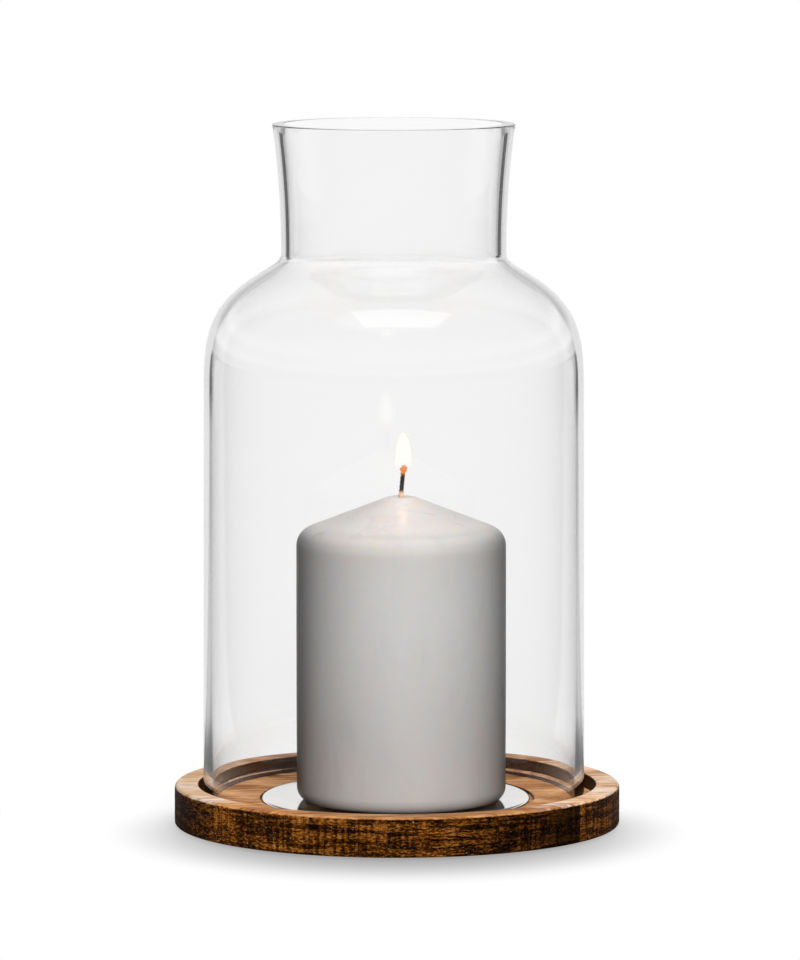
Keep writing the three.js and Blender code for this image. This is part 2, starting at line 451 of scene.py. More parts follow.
def sawn_grain(nodes, moved, turned, height):
    """Colour and relief of the rough-sawn outer wall.

    Rows of dark stain are crossed by upright tool marks, and give way to long wavy grain in places.
    There are fine flecks all over, and a few silvery specks that are painted glints.
    """
    def crossing(along, up, detail=2, roughness=0.5):
        place = nodes.join(nodes.math("MULTIPLY", turned, along), nodes.math("MULTIPLY", height, up))
        return nodes.noise(place, detail=detail, roughness=roughness)

    rows = nodes.between(crossing(45.0, 560.0), 0.38, 0.6)
    columns = nodes.between(crossing(600.0, 45.0), 0.38, 0.62)
    flecks = nodes.between(crossing(720.0, 1700.0, 3, 0.7), 0.36, 0.64)
    waves = nodes.noise(nodes.stretch(moved, (60, 220, 620)), detail=4, roughness=0.65, distortion=1.1)
    waves = nodes.between(waves, 0.38, 0.62)
    checker = nodes.weigh((rows, 0.58), (columns, 0.42))
    pattern = nodes.blend(nodes.between(crossing(17.0, 20.0), 0.42, 0.56), waves, checker)
    relief = nodes.weigh((pattern, 0.56), (flecks, 0.44))
    colour = nodes.ramp(
        relief,
        (0.12, srgb(7, 4, 2)),
        (0.33, srgb(30, 15, 4)),
        (0.5, srgb(70, 36, 5)),
        (0.66, srgb(115, 64, 14)),
        (0.85, srgb(169, 107, 45)),
    )
    # Painted glints: a few silvery specks blended into the sawn wall's colour.
    painted_glint_share = nodes.math("MULTIPLY", nodes.between(crossing(1250.0, 1500.0), 0.66, 0.72), 0.6)
    return nodes.blend(painted_glint_share, colour, srgb(186, 172, 158)), relief


def stained_places(nodes, moved, parts, away):
    """1 where the base is stained, 1 where it is sawn, and 1 outside the middle of the rim.

    The outer wall is sawn, and its stain begins a little below its top edge, in a ragged line. Inside, the
    stain covers the walls of the recess and the pocket.
    """
    ragged = nodes.noise(nodes.stretch(moved, (700, 700, 900)), detail=3, roughness=0.65)
    drop = nodes.weigh((parts[2], -1.0), (ragged, STAIN_RAGGED), (1.0, BASE.high - STAIN_RAGGED / 2))
    upright = nodes.parts(nodes.add("NewGeometry").outputs["Normal"])[2]
    outside = nodes.math("GREATER_THAN", away, (BASE.radius + RECESS_RADIUS) / 2)
    off_bottom = nodes.between(upright, -0.9, -0.7)
    outer_wall = nodes.math("MULTIPLY", nodes.between(drop, STAIN_START, STAIN_FULL), off_bottom)
    inner_wall = nodes.between(nodes.math("ABSOLUTE", upright), 0.8, 0.6)
    stained = nodes.between(outside, 0, 1, inner_wall, outer_wall, soft=False)
    return stained, nodes.math("MULTIPLY", outer_wall, outside), outside


def wood_material(board):
    """Wood of one board: sanded on top, with the rim in its own colours, and dark stained walls."""
    material, nodes = new_material("wood_" + board.name)
    position, parts, away, turned = base_coordinates(nodes)
    moved = nodes.stretch(position, (1, 1, 1), board.grain_place)
    side = nodes.between(parts[0], -BASE.radius, BASE.radius, soft=False)

    tone, fibres, pores = sanded_grain(nodes, moved)
    rim_shade = grey_steps(nodes, side, across(board.rim_tones))
    rim = nodes.blend(1.0, nodes.ramp(tone, *grain_stops(board.rim)), rim_shade, "MULTIPLY")
    on_rim = nodes.math("GREATER_THAN", away, RECESS_RADIUS)
    sanded = nodes.blend(on_rim, nodes.ramp(tone, *grain_stops(board.floor)), rim)
    # Painted sheen: whitish patches blended into the rim's colour.
    top_colour = nodes.blend(painted_sheen_share(nodes, position, moved), sanded, srgb(240, 226, 218))

    sawn_colour, relief = sawn_grain(nodes, moved, turned, parts[2])
    wall_shade = grey_steps(nodes, side, across(board.wall_tones))
    outer_colour = nodes.blend(1.0, sawn_colour, wall_shade, "MULTIPLY")
    inner_colour = nodes.ramp(
        nodes.weigh((fibres, 0.5), (pores, 0.5)),
        (0.38, srgb(12, 3, 0)),
        (0.5, srgb(36, 12, 0)),
        (0.62, srgb(76, 37, 5)),
    )
    stained, sawn, outside = stained_places(nodes, moved, parts, away)
    wall_colour = nodes.blend(outside, inner_colour, outer_colour)

    fine = nodes.bump(fibres, 0.00012, 0.35)
    inputs = {
        "Base Color": nodes.blend(stained, top_colour, wall_colour),
        "Roughness": nodes.between(nodes.weigh((fibres, 0.5), (sawn, 0.1)), 0.15, 0.45, 0.42, 0.6),
        "Normal": nodes.bump(nodes.math("MULTIPLY", relief, sawn), 0.0003, 1.0, fine),
        "Specular IOR Level": 0.04,
    }
    nodes.principled(inputs)
    return material


def felt_material():
    material, nodes = new_material("brown_felt")
    position = nodes.position()
    fuzz = nodes.noise(position, 2600, detail=4, roughness=0.75)
    blotch = nodes.noise(position, 260, detail=2)
    colour = nodes.ramp(
        nodes.weigh((fuzz, 0.7), (blotch, 0.3)),
        (0.3, srgb(48, 40, 34)),
        (0.5, srgb(76, 65, 56)),
        (0.7, srgb(108, 95, 84)),
    )
    inputs = {
        "Base Color": colour,
        "Roughness": 1.0,
        "Sheen Weight": 0.4,
        "Sheen Roughness": 0.6,
        "Normal": nodes.bump(fuzz, 0.0003, 0.9),
    }
    nodes.principled(inputs)
    return material


def plate_material():
    """Polished stainless steel, with faint round polishing marks and wiped smears."""
    material, nodes = new_material("polished_steel")
    position, _, away, turned = base_coordinates(nodes)
    marks = nodes.join(nodes.math("MULTIPLY", away, 5200.0), nodes.math("MULTIPLY", turned, 9.0))
    rings = nodes.noise(marks)
    smears = nodes.noise(position, 55, detail=3, distortion=1.2)
    colour = nodes.ramp(smears, (0.3, srgb(226, 224, 221)), (0.7, srgb(238, 237, 235)))
    inputs = {
        "Base Color": colour,
        "Metallic": 1.0,
        "Roughness": nodes.between(smears, 0.3, 0.75, 0.05, 0.11),
        "Normal": nodes.bump(rings, 0.00001, 0.15),
    }
    nodes.principled(inputs)
    return material


def glass_material():
    """Clear glass that lets lamps through."""
    material, nodes = new_material("clear_glass")
    rays = nodes.add("LightPath").outputs
    glass = nodes.add(
        "BsdfPrincipled",
        {"Base Color": (1, 1, 1, 1), "Roughness": 0.0, "IOR": 1.5, "Transmission Weight": 1.0},
    ).outputs[0]
    clear = nodes.add("BsdfTransparent").outputs[0]
    through = nodes.most(rays["Is Shadow Ray"], rays["Is Diffuse Ray"])
    nodes.surface(nodes.add("MixShader", {0: through, 1: glass, 2: clear}).outputs[0])
    return material


def wax_material():
    """Smooth candle wax that light sinks into: a little mottled, warmer near the flame, darker at its foot.

    Its tinted coat darkens it towards its outline; the warm top is painted glow, the dark foot painted
    shade.
    """
    material, nodes = new_material("candle_wax")
    position = nodes.position()
    height = nodes.parts(position)[2]
    mottle = nodes.noise(nodes.stretch(position, (70, 70, 22)), detail=4, roughness=0.6, distortion=0.8)
    grain = nodes.noise(position, 420, detail=3)
    white = nodes.ramp(mottle, (0.3, srgb(247, 246, 245)), (0.7, srgb(254, 253, 252)))
    # Painted warm glow of the flame on the wax near its top.
    painted_glow_share = nodes.math("MULTIPLY", nodes.between(height, WAX.low + WAX_GLOW_START, WAX.high), 0.4)
    glow_tinted = nodes.blend(painted_glow_share, white, srgb(250, 226, 214))
    # Painted shade: the wax gets darker towards its foot.
    shade = grey_steps(nodes, nodes.math("SUBTRACT", height, WAX.low), WAX_PAINTED_SHADE)
    coat_end = [WAX_WALL_TOP + rise for rise in COAT_END]
    inputs = {
        "Base Color": nodes.blend(1.0, glow_tinted, shade, "MULTIPLY"),
        "Roughness": nodes.between(mottle, 0.3, 0.7, 0.26, 0.34),
        "IOR": 1.44,
        "Specular IOR Level": 0.3,
        "Subsurface Weight": 0.85,
        "Subsurface Radius": (1.0, 0.72, 0.55),
        "Subsurface Scale": 0.004,
        "Coat Weight": nodes.between(height, *coat_end, 1.0, 0.3),
        "Coat Roughness": 0.35,
        "Coat IOR": 1.05,
        "Coat Tint": (0.58, 0.58, 0.58, 1),
        "Normal": nodes.bump(nodes.weigh((mottle, 0.8), (grain, 0.2)), 0.0003, 0.35),
    }
    nodes.principled(inputs)
    return material


def wick_material():
    """Cotton: waxed where it leaves the candle, charred above, and glowing at its end."""
    material, nodes = new_material("burnt_cotton")
    position = nodes.position()
    height = nodes.parts(position)[2]
    fuzz = nodes.noise(position, 3000, detail=3, roughness=0.7)
    ragged = nodes.weigh((height, 1.0), (fuzz, WICK_RAGGED), (1.0, -WICK_RAGGED / 2))
    charred = nodes.ramp(fuzz, (0.3, srgb(10, 7, 6)), (0.55, srgb(36, 27, 24)), (0.75, srgb(92, 84, 80)))
    waxed = nodes.ramp(fuzz, (0.3, srgb(226, 160, 112)), (0.6, srgb(250, 214, 184)))
    glowing = ((0.3, srgb(196, 84, 16)), (0.55, srgb(238, 132, 34)), (0.75, srgb(255, 178, 74)))
    char_share = nodes.between(ragged, *[WAX.high + rise for rise in WICK_CHARS])
    ember_share = nodes.between(ragged, *[WAX.high + rise for rise in WICK_GLOWS])
    inputs = {
        "Base Color": nodes.blend(ember_share, nodes.blend(char_share, waxed, charred), srgb(60, 20, 4)),
        "Roughness": 0.7,
        "Normal": nodes.bump(fuzz, 0.0003, 0.8),
        "Emission Color": nodes.ramp(fuzz, *glowing),
        "Emission Strength": ember_share,
    }
    nodes.principled(inputs)
    return material


def tin_material():
    material, nodes = new_material("pressed_tin")
    position = nodes.position()
    dull = nodes.noise(position, 700, detail=3)
    inputs = {
        "Base Color": nodes.ramp(dull, (0.3, srgb(168, 169, 168)), (0.7, srgb(198, 198, 196))),
        "Metallic": 1.0,
        "Roughness": nodes.between(dull, 0.3, 0.7, 0.3, 0.45),
        "Normal": nodes.bump(dull, 0.00004, 0.4),
    }
    nodes.principled(inputs)
    return material


def flame_material(name, colour, strength, stops):
    """Glowing gas. stops are (height, alpha), from the bottom up."""
    material, nodes = new_material(name)
    height = nodes.parts(nodes.position())[2]
    low, high = stops[0][0], stops[-1][0]
    rise = nodes.between(height, low, high, soft=False)
    alpha = grey_steps(nodes, rise, [((z - low) / (high - low), share) for z, share in stops])
    inputs = {
        "Base Color": (0, 0, 0, 1),
        "Roughness": 1.0,
        "Specular IOR Level": 0.0,
        "Emission Color": colour,
        "Emission Strength": strength,
        "Alpha": alpha,
    }
    nodes.principled(inputs)
    return material


# Pieces.


def base_section():
    """Section of the whole base, with rows on its outer wall for the saw marks."""
    pocket_floor = PLATE.low
    wall_low = (BASE.radius, BASE.low + BOTTOM_EDGE)
    wall_high = (BASE.radius, BASE.high - OUTER_EDGE)
    return [
        (0, BASE.low),
        *arc(BASE.radius - BOTTOM_EDGE, BASE.low + BOTTOM_EDGE, BOTTOM_EDGE, -90, 0),
        *line(wall_low, wall_high, WALL_ROW),
        *arc(BASE.radius - OUTER_EDGE, BASE.high - OUTER_EDGE, OUTER_EDGE, 0, 90),
        *arc(RECESS_RADIUS + INNER_EDGE, BASE.high - INNER_EDGE, INNER_EDGE, 90, 180),
        (RECESS_RADIUS, RECESS_FLOOR),
        (POCKET_RADIUS + POCKET_EDGE, RECESS_FLOOR),
        (POCKET_RADIUS, RECESS_FLOOR - POCKET_EDGE),
        (POCKET_RADIUS, pocket_floor),
        (0, pocket_floor),
    ]


def sawn_wall(angle, radius, height):
    """Presses saw marks, fibres and small nicks into the outer wall. Nothing stands out of it."""
    wall = smoothstep(radius, BASE.radius - OUTER_EDGE, BASE.radius)
    if wall <= 0:
        return radius, height
    turned = angle * radius
    x, y = radius * math.cos(angle), radius * math.sin(angle)
    fibres = noise.noise(Vector((x / FIBRE_SIZE[0], y / FIBRE_SIZE[1], height / FIBRE_SIZE[2])))
    saw = noise.noise(Vector((turned / SAW_SIZE[0], 3.7, height / SAW_SIZE[1])))
    ripple = noise.noise(Vector((turned / RIPPLE_SIZE[0], 9.1, height / RIPPLE_SIZE[1])))
    depth = SAW_DEPTH * (0.5 + 0.22 * fibres + 0.18 * saw + 0.1 * ripple)
    nick = max(0.0, noise.noise(Vector((turned / NICK_LENGTH, 5.3, 0.0))) - 0.18)
    near_top = smoothstep(height, BASE.high - NICK_END, BASE.high - NICK_FULL)
    return radius - wall * (depth + NICK_DEPTH * nick * near_top), height


# Places on the grain's ramp, and colours of a sanded face at them.
GRAIN_PLACES = (0.37, 0.45, 0.52, 0.61)
ORANGE = ((118, 67, 33), (175, 115, 65), (215, 155, 102), (241, 190, 137))
BROWN = ((108, 62, 32), (160, 107, 64), (198, 146, 100), (228, 178, 132))
PALE = ((150, 104, 66), (200, 154, 112), (232, 190, 150), (248, 220, 190))
DULL = ((106, 58, 27), (162, 105, 58), (200, 140, 88), (226, 174, 120))
# Brightness of the boards from left to right, as (x, brightness) stops, on the rim and on the outer wall.
FRONT_RIM = ((-0.06, 1.15), (-0.045, 1.1), (-0.028, 0.84), (0.03, 0.78), (0.06, 1.1))
FRONT_WALL = (
    (-0.06, 1.3),
    (-0.05, 1.45),
    (-0.036, 0.95),
    (-0.025, 0.76),
    (0.01, 0.88),
    (0.03, 0.5),
    (0.045, 0.34),
    (0.055, 0.11),
    (0.06, 0.14),
)
MIDDLE_RIM = ((-0.06, 0.9), (0.06, 1.05))
MIDDLE_WALL = ((-0.074, 0.6), (-0.066, 0.8), (-0.06, 1.1), (0.06, 1.0), (0.07, 0.85))
BACK_RIM = ((0, 1), (0.01, 1))
BACK_WALL = ((-0.05, 0.9), (0.05, 0.8))
# A board lies between the planes front and back. The other values are its place in the grain and its looks.
Board = namedtuple("Board", "name front back grain_place floor rim rim_tones wall_tones")
BOARDS = (
    Board("front", None, -BOARD_JOINT, (0.31, 0.17, 0.05), ORANGE, DULL, FRONT_RIM, FRONT_WALL),
    Board("middle", -BOARD_JOINT, BOARD_JOINT, (0.83, 0.46, 0.11), ORANGE, PALE, MIDDLE_RIM, MIDDLE_WALL),
    Board("back", BOARD_JOINT, None, (0.12, 0.71, 0.23), BROWN, BROWN, BACK_RIM, BACK_WALL),
)


def add_boards():
    """Cuts the turned disc at its two glue joints, as one board each."""
    section = close_flats(base_section())
    for board in BOARDS:
        solid = turn(section, BASE_SEGMENTS, BASE, sawn_wall)
        for cut, facing in ((board.front, -1), (board.back, 1)):
            if cut is not None:
                cut_off(solid, cut, facing)
        node = "base_board_" + board.name
        add_piece("turned_board_" + board.name, solid, [wood_material(board)], "base", [node])


def cut_off(solid, y, facing):
    """Cuts a solid at a plane across Y, takes away what lies past it and closes the cut."""
    everything = [*solid.verts, *solid.edges, *solid.faces]
    found = bmesh.ops.bisect_plane(
        solid,
        geom=everything,
        plane_co=(0, y, 0),
        plane_no=(0, facing, 0),
        clear_outer=True,
    )
    border = [item for item in found["geom_cut"] if isinstance(item, bmesh.types.BMEdge)]
    cap = bmesh.ops.contextual_create(solid, geom=border)["faces"]
    bmesh.ops.triangulate(solid, faces=cap)
    bmesh.ops.recalc_face_normals(solid, faces=solid.faces)


def add_felt_pads():
    """Four discs of felt, with a frayed edge."""
    felt = felt_material()
    for corner in ("front_left", "front_right", "back_left", "back_right"):
        node = "felt_pad_" + corner
        pad = place_of(node)

        def frayed(angle, radius, height):
            rim = smoothstep(radius, pad.radius - 2 * FELT_EDGE, pad.radius)
            place = Vector((radius * math.cos(angle), radius * math.sin(angle), height))
            return radius - rim * FELT_FRAY * (1 + noise.noise(place / FELT_TUFT)), height

        section = [
            (0, pad.low),
            *arc(pad.radius - FELT_EDGE, pad.low + FELT_EDGE, FELT_EDGE, -90, 0, SMALL_STEPS),
            *line((pad.radius, pad.low + FELT_EDGE), (pad.radius, pad.high), FELT_EDGE),
            (pad.radius, pad.high),
            (0, pad.high),
        ]
        disc = turn(close_flats(section), SMALL_SEGMENTS, pad, frayed)
        add_piece("felt_disc_" + corner, disc, [felt], "base", [node])


def add_plate():
    rounding = (PLATE.high - PLATE.low) / 2
    section = [
        (0, PLATE.low),
        *arc(PLATE.radius - rounding, PLATE.low + rounding, rounding, -90, 90, 2 * ARC_STEPS),
        (0, PLATE.high),
    ]
    disc = turn(close_flats(section), GLASS_SEGMENTS, PLATE)
    add_piece("polished_plate", disc, [plate_material()], "plate", ["candle_plate"])


def curve_point(corners, share):
    """Place and direction on a cubic curve."""
    first, second, third, last = (Vector(corner) for corner in corners)
    rest = 1 - share
    place = first * rest**3 + second * 3 * rest**2 * share + third * 3 * rest * share**2 + last * share**3
    way = (second - first) * rest**2 + (third - second) * 2 * rest * share + (last - third) * share**2
    return place, way.normalized()


def bend(start, start_way, start_reach, end, end_way, end_reach):
    """Corners of a cubic curve that leaves its start and reaches its end along given ways."""
    start, end = Vector(start), Vector(end)
    return start, start + Vector(start_way) * start_reach, end - Vector(end_way) * end_reach, end


def straight(start, end):
    """Corners of a cubic curve that runs straight."""
    start, end = Vector(start), Vector(end)
    return start, start.lerp(end, 1 / 3), start.lerp(end, 2 / 3), end


def upwards(lean):
    """Way up that leans outwards by an angle."""
    return math.sin(math.radians(lean)), math.cos(math.radians(lean))


def cover_stretches():
    """The cover's outside from foot to mouth: curves, their steps, and the wall at their start and end."""
    body_top = COVER.low + BODY_HEIGHT
    slope_top = body_top + SHOULDER_HEIGHT
    body_radius = COVER.radius - BODY_TAPER
    foot = (COVER.radius, FOOT_LEVEL)
    taper = (mix(COVER.radius, body_radius, FOOT_TAPER / BODY_HEIGHT), COVER.low + FOOT_TAPER)
    body = (body_radius, body_top)
    slope = (SLOPE_RADIUS, slope_top)
    throat = (NECK_RADIUS, slope_top + THROAT_HEIGHT)
    mouth = (MOUTH_RADIUS, COVER.high)
    up, along, flare = upwards(0), upwards(-SLOPE_TILT), upwards(MOUTH_TILT)
    curves = (
        straight(foot, taper),
        straight(taper, body),
        bend(body, up, SHOULDER_START, slope, along, SHOULDER_END),
        bend(slope, along, THROAT_START, throat, up, THROAT_END),
        bend(throat, up, NECK_START, mouth, flare, NECK_END),
    )
    walls = (FOOT_WALL, BODY_WALL, BODY_WALL, SHOULDER_WALL, NECK_WALL, MOUTH_WALL)
    return zip(curves, COVER_STEPS, walls, walls[1:])


def cover_section():
    """Up the outside of the glass cover, over its mouth and down its inside, one wall thickness in.

    Gives the section and the set of its points on the inside.
    """
    outside, inside = [], []
    for corners, steps, start_wall, end_wall in cover_stretches():
        for step in range(1 if outside else 0, steps + 1):
            share = step / steps
            place, way = curve_point(corners, share)
            wall = mix(start_wall, end_wall, smoothstep(share, 0, 1))
            outside.append(tuple(place))
            inside.append((place.x - way.y * wall, place.y + way.x * wall))
    foot_outside, foot_inside = outside.pop(0), inside.pop(0)
    rim = outside.pop()
    inside.pop()
    mouth_inside = arc(rim[0] - MOUTH_WALL + MOUTH_EDGE, rim[1] - MOUTH_EDGE, MOUTH_EDGE, 90, 180)
    inner = [*mouth_inside, *reversed(inside)]
    section = [
        (foot_inside[0] - FOOT_LIP, FOOT_LEVEL),
        *arc(foot_outside[0] - FOOT_EDGE, FOOT_LEVEL + FOOT_EDGE, FOOT_EDGE, -90, 0),
        *outside,
        *arc(rim[0] - MOUTH_EDGE, rim[1] - MOUTH_EDGE, MOUTH_EDGE, 0, 90),
        *inner,
        (foot_inside[0], FOOT_LEVEL + FOOT_LIP_HEIGHT),
    ]
    return section, set(inner)


def sunk(wave, angle, height):
    """How deep a place on a turned wall lies by its slow unevenness."""
    way = Vector((math.cos(angle), math.sin(angle), 0))
    level = noise.noise(way * wave.turn + Vector((*wave.place, height / wave.height)))
    return wave.depth * (1 + level) / 2


def blown_wall(inner):
    """Gives the cover's wall the unevenness of blown glass. inner holds the points on its inside."""
    slope_top = COVER.low + BODY_HEIGHT + SHOULDER_HEIGHT

    def shape(angle, radius, height):
        thicker = 0.0
        if (radius, height) in inner:
            in_neck = smoothstep(height, slope_top - NECK_BLEND, slope_top + NECK_BLEND)
            thicker = NECK_UNEVEN * in_neck * max(0.0, math.cos(angle))
        return radius - thicker - sunk(GLASS_WAVE, angle, height), height

    return shape


def add_cover():
    section, inner = cover_section()
    cover = turn(section, GLASS_SEGMENTS, COVER, blown_wall(inner))
    add_piece("blown_glass_cover", cover, [glass_material()], "cover", ["glass_cover"])


def wax_section():
    """Section of the candle, with the wick's bore and the hollow for the clip underneath."""
    slope = math.radians(WAX_CONE_TILT)
    wall_low = WAX.low + WAX_BOTTOM_ROUND
    hollow = CLIP.radius + CLIP_GAP
    hollow_top = CLIP.low + CLIP_THICKNESS + CLIP_GAP
    collar = COLLAR_RADIUS + CLIP_GAP
    tip_foot = WAX_TIP_RADIUS - WAX_TIP_ROUND * math.tan(slope / 2)
    return [
        (hollow, WAX.low),
        *arc(WAX.radius - WAX_BOTTOM_ROUND, wall_low, WAX_BOTTOM_ROUND, -90, 0),
        *line((WAX.radius, wall_low), (WAX.radius, WAX_WALL_TOP), WAX_ROW),
        *arc(WAX.radius - WAX_SHOULDER_ROUND, WAX_WALL_TOP, WAX_SHOULDER_ROUND, 0, 90 - WAX_CONE_TILT),
        *arc(tip_foot, WAX.high - WAX_TIP_ROUND, WAX_TIP_ROUND, 90 - WAX_CONE_TILT, 90, TIP_STEPS),
        (BORE_RADIUS, WAX.high),
        (BORE_RADIUS, CLIP.high + CLIP_GAP),
        (collar, CLIP.high + CLIP_GAP),
        (collar, hollow_top),
        (hollow, hollow_top),
    ]


def cast_wax(angle, radius, height):
    """Leaves the candle a little uneven, as cast and burnt wax is."""
    return radius - smoothstep(radius, *WAX_WAVE_START) * sunk(WAX_WAVE, angle, height), height


def add_wax():
    candle = turn(close_flats(wax_section()), WAX_SEGMENTS, WAX, cast_wax)
    add_piece("pillar_candle", candle, [wax_material()], "candle", ["candle_wax"])


def wick_axis(height):
    """The wick's middle at a height: upright in its bore, and leaning a little above the wax."""
    rise = smoothstep(height, WAX.high, WICK_TOP)
    return Vector((WAX.x + WICK_LEAN * rise, WAX.y, height))


def tube(solid, places, radii, sides):
    """Adds a closed tube along places, with flat ends."""
    rings = []
    for place, radius in zip(places, radii):
        ring = []
        for side in range(sides):
            angle = math.tau * side / sides
            ring.append(solid.verts.new(place + Vector((math.cos(angle), math.sin(angle), 0)) * radius))
        rings.append(ring)
    for lower, upper in zip(rings, rings[1:]):
        for side in range(sides):
            after = (side + 1) % sides
            solid.faces.new([lower[side], lower[after], upper[after], upper[side]])
    solid.faces.new(rings[0][::-1])
    solid.faces.new(rings[-1])


def add_strand(solid, strand):
    """One strand of the wick, thinner where the cotton has burnt."""
    places, radii = [], []
    for step in range(STRAND_STEPS + 1):
        height = mix(CLIP.low, STRAND_TOP, step / STRAND_STEPS)
        burnt = smoothstep(height - WAX.high, *WICK_THINS)
        overall = mix(WICK_FOOT_RADIUS, WICK_BURNT_RADIUS, burnt)
        angle = math.tau * (strand / STRANDS + (height - CLIP.low) / STRAND_TURN)
        away = Vector((math.cos(angle), math.sin(angle), 0)) * overall * STRAND_AWAY
        places.append(wick_axis(height) + away)
        radii.append(overall * STRAND_THICK)
    tube(solid, places, radii, STRAND_SIDES)


def add_ember(solid):
    """Dented lumps of char on the wick's end."""
    for x, y, rise, radius in EMBER_LUMPS:
        centre = wick_axis(EMBER_FOOT + rise) + Vector((x, y, 0))
        lump = bmesh.ops.create_icosphere(solid, subdivisions=3, radius=radius)["verts"]
        for vertex in lump:
            dent = noise.noise((vertex.co + centre) / EMBER_DENT_SIZE)
            vertex.co = centre + vertex.co * (1 + EMBER_DENT * dent)


def add_wick():
    solid = bmesh.new()
    for strand in range(STRANDS):
        add_strand(solid, strand)
    add_ember(solid)
    bmesh.ops.recalc_face_normals(solid, faces=solid.faces)
    add_piece("twisted_wick", solid, [wick_material()], "candle", ["wick"])


def add_clip():
    """Pressed disc with a collar, which holds the wick's lower end."""
    edge = CLIP_THICKNESS / 4
    top = CLIP.low + CLIP_THICKNESS
    section = [
        (BORE_RADIUS, CLIP.low),
        *arc(CLIP.radius - edge, CLIP.low + edge, edge, -90, 0, SMALL_STEPS),
        *arc(CLIP.radius - edge, top - edge, edge, 0, 90, SMALL_STEPS),
        (COLLAR_RADIUS, top),
        *arc(COLLAR_RADIUS - edge, CLIP.high - edge, edge, 0, 90, SMALL_STEPS),
        (BORE_RADIUS, CLIP.high),
    ]
    clip = turn(close_flats(section, edge), SMALL_SEGMENTS, CLIP)
    add_piece("wick_holder", clip, [tin_material()], "candle", ["wick_clip"])


# Flame: heights above the wax's tip, and radii. Its light on the wax comes from a lamp inside it.
FLAME_LOW = 0.0082
FLAME_WIDE = 0.0100
FLAME_HIGH = 0.0215
FLAME_FULLNESS = 0.62
FLAME_LOW_STEPS = 7
FLAME_STEPS = 24
# Shells of glowing gas from the inside out: name, radius, colour, strength, and alpha in full flame.
FLAME_SHELLS = (
    ("flame_core", 0.0027, (1.0, 0.95, 0.88, 1.0), 1.3, 1.0),
    ("flame_veil", 0.0031, (1.0, 0.93, 0.84, 1.0), 1.1, 0.4),
    ("flame_fringe", 0.0036, (1.0, 0.82, 0.7, 1.0), 1.05, 0.13),
)
# How full the flame is, as (height above its widest place, share) stops.
FLAME_ALPHA = ((0.0, 0.06), (0.0016, 0.2), (0.0028, 1.0))
# The lamp's place is a share of the way from the widest place to the tip.
FLAME_LAMP_POWER = 0.0015
FLAME_LAMP_COLOUR = (1.0, 0.62, 0.42)
FLAME_LAMP_PLACE = 0.4


def flame_section(low, wide, high, radius):
    """Section of a flame: a bell, drawn out to a point above and round below."""
    section = [(0, low)]
    for step in range(1, FLAME_LOW_STEPS):
        share = step / FLAME_LOW_STEPS
        section.append((radius * math.sqrt(1 - (1 - share) ** 2), mix(low, wide, share)))
    for step in range(FLAME_STEPS):
        share = step / FLAME_STEPS
        width = radius * math.sin(math.pi / 2 * (1 - share) ** FLAME_FULLNESS)
        section.append((width, mix(wide, high, share)))
    section.append((0, high))
    return section


def add_flame():
    """Shells of glowing gas above the wick, and the lamp that stands for their light."""
    tip = wick_axis(WICK_TOP)
    for name, radius, colour, strength, fullness in FLAME_SHELLS:
        spread = radius - FLAME_SHELLS[0][1]
        low, wide, high = (WAX.high + rise for rise in (FLAME_LOW - spread, FLAME_WIDE, FLAME_HIGH + spread))
        stops = [(low, 0.0), *[(wide + rise, share) for rise, share in FLAME_ALPHA], (high, 1.0)]
        material = flame_material(name, colour, strength, [(z, share * fullness) for z, share in stops])
        material.cycles.emission_sampling = "NONE"
        middle = Place(tip.x, tip.y, radius, low, high)
        shell = turn(flame_section(low, wide, high, radius), SMALL_SEGMENTS, middle)
        add_piece(name, shell, [material], "candle").visible_shadow = False
    add_flame_lamp(tip)


def add_flame_lamp(tip):
    lamp = bpy.data.lights.new("flame_lamp", "POINT")
    lamp.shadow_soft_size = 0.0
    lamp.energy = FLAME_LAMP_POWER
    lamp.color = FLAME_LAMP_COLOUR
    holder = new_object("flame_lamp", lamp)
    holder.location = (tip.x, tip.y, WAX.high + mix(FLAME_WIDE, FLAME_HIGH, FLAME_LAMP_PLACE))
    holder.parent = bpy.data.objects["flame_core"]


# Stage, light and camera.

CAMERA_PLACE = (0.0010, -2.213, 0.3584)
CAMERA_TILT = 83.773
CAMERA_LENS = 248.89
SENSOR_WIDTH = 36.0
# Lamps: name, place, aim, size, how bright the face looks, and whether outer surfaces mirror it.
LAMPS = (
    ("softbox_above", (0.1, -0.62, 1.67), (0.1, -0.62, 0), (1.15, 0.84), 1.5, True),
    ("fill_above", (0.1, -0.62, 1.7), (0.1, -0.62, 0), (1.15, 0.84), 4.3, False),
    ("fill_front", (0.33, -2.58, 0.95), (0, 0, 0.08), (0.9, 0.6), 44.0, False),
    ("fill_back", (0.1, 2.6, 0.95), (0, 0, 0.08), (0.9, 0.6), 22.0, False),
)
WHITE = (1.0, 1.0, 1.0, 1.0)
BLACK = (0.0, 0.0, 0.0, 1.0)
# The floor shows shadows in full up to NEAR_FLOOR from the axis, and none from FAR_FLOOR on. It glows white,
# and near the axis by NEAR_GLOW, where the lamps' light on FLOOR_COLOUR adds the rest. FLOOR_BOUNCE and
# WORLD_LIGHT are all that floor and world light the object with.
FLOOR_REACH = 60.0
NEAR_FLOOR = 0.088
FAR_FLOOR = 0.135
NEAR_GLOW = 0.82
FLOOR_COLOUR = (0.2, 0.2, 0.2, 1.0)
FLOOR_BOUNCE = (0.1, 0.1, 0.1, 1.0)
WORLD_LIGHT = (0.02, 0.02, 0.02, 1.0)

# The studio as glass, metal and gloss throw it back: a white backdrop behind the object, in a darker room.
# Ways over the floor are given by the cosine of their angle from +Y, where the backdrop stands.
BACKDROP_EDGE = (0.83, 0.86)
ROOM_NEAR = (0.05, 0.05, 0.05, 1.0)
ROOM_FAR = (0.28, 0.28, 0.28, 1.0)
ROOM_SIDE = (0.35, 0.35, 0.35, 1.0)
# Distances between which the room goes from near to far, and cosines from its front to its side.
ROOM_DEPTH = (0.25, 0.6)
ROOM_TURN = (-0.2, 0.4)
